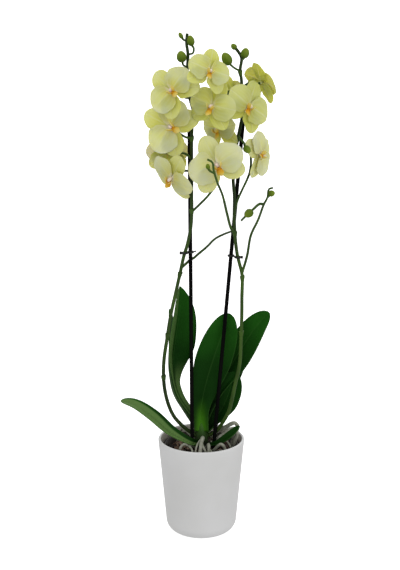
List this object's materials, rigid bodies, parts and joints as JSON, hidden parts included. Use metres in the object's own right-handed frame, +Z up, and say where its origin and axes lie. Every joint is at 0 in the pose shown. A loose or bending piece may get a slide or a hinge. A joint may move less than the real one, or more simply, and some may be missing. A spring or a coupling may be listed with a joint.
{
  "type": "potted orchid",
  "caption": "Moth orchid in a plain white glazed pot, with two staked flower spikes of pale yellow-green blooms, broad dark leaves, silvery roots and bark.",
  "frame": {"origin": "centre of the pot's resting face", "axes": "+Z up along the pot's axis; -Y towards the front, the side that most blooms face; +X to the right seen from the front"},
  "size_m": [0.2262, 0.1421, 0.7521],
  "materials": {
    "glaze": "satin white glaze",
    "clear_plastic": "clear, slightly cloudy",
    "bark": "rough chips",
    "leaf": "waxy, semi-gloss",
    "root": "matt, silvery",
    "stick": "dark, matt",
    "clip": "black",
    "stem": "waxy",
    "tepal": "soft, velvety",
    "lip": "waxy"
  },
  "bodies": {
    "root": {"pot": "glaze", "liner_pot": "clear_plastic", "bark": "bark", "crown": "leaf", "leaf_low_left": "leaf", "leaf_tall_left": "leaf", "leaf_back_left": "leaf", "leaf_centre": "leaf", "leaf_right": "leaf", "leaf_back_right": "leaf", "leaf_low_right": "leaf", "leaf_small_right": "leaf", "root_front_left": "root", "root_front": "root", "root_front_arch": "root", "root_front_right": "root", "root_right": "root", "root_back_right": "root", "root_back_left": "root", "root_back": "root", "stick_left": "stick", "stick_right": "stick", "clip_left": "clip", "clip_right": "clip", "spike_left": "stem", "spike_right": "stem", "bloom_01_tepals": "tepal", "bloom_01_lip": "lip", "bloom_02_tepals": "tepal", "bloom_02_lip": "lip", "bloom_03_tepals": "tepal", "bloom_03_lip": "lip", "bloom_04_tepals": "tepal", "bloom_04_lip": "lip", "bloom_05_tepals": "tepal", "bloom_05_lip": "lip", "bloom_06_tepals": "tepal", "bloom_06_lip": "lip", "bloom_07_tepals": "tepal", "bloom_07_lip": "lip", "bloom_08_tepals": "tepal", "bloom_08_lip": "lip", "bloom_09_tepals": "tepal", "bloom_09_lip": "lip", "bloom_10_tepals": "tepal", "bloom_10_lip": "lip", "bloom_11_tepals": "tepal", "bloom_11_lip": "lip", "bloom_12_tepals": "tepal", "bloom_12_lip": "lip"}
  },
  "joints": []
}
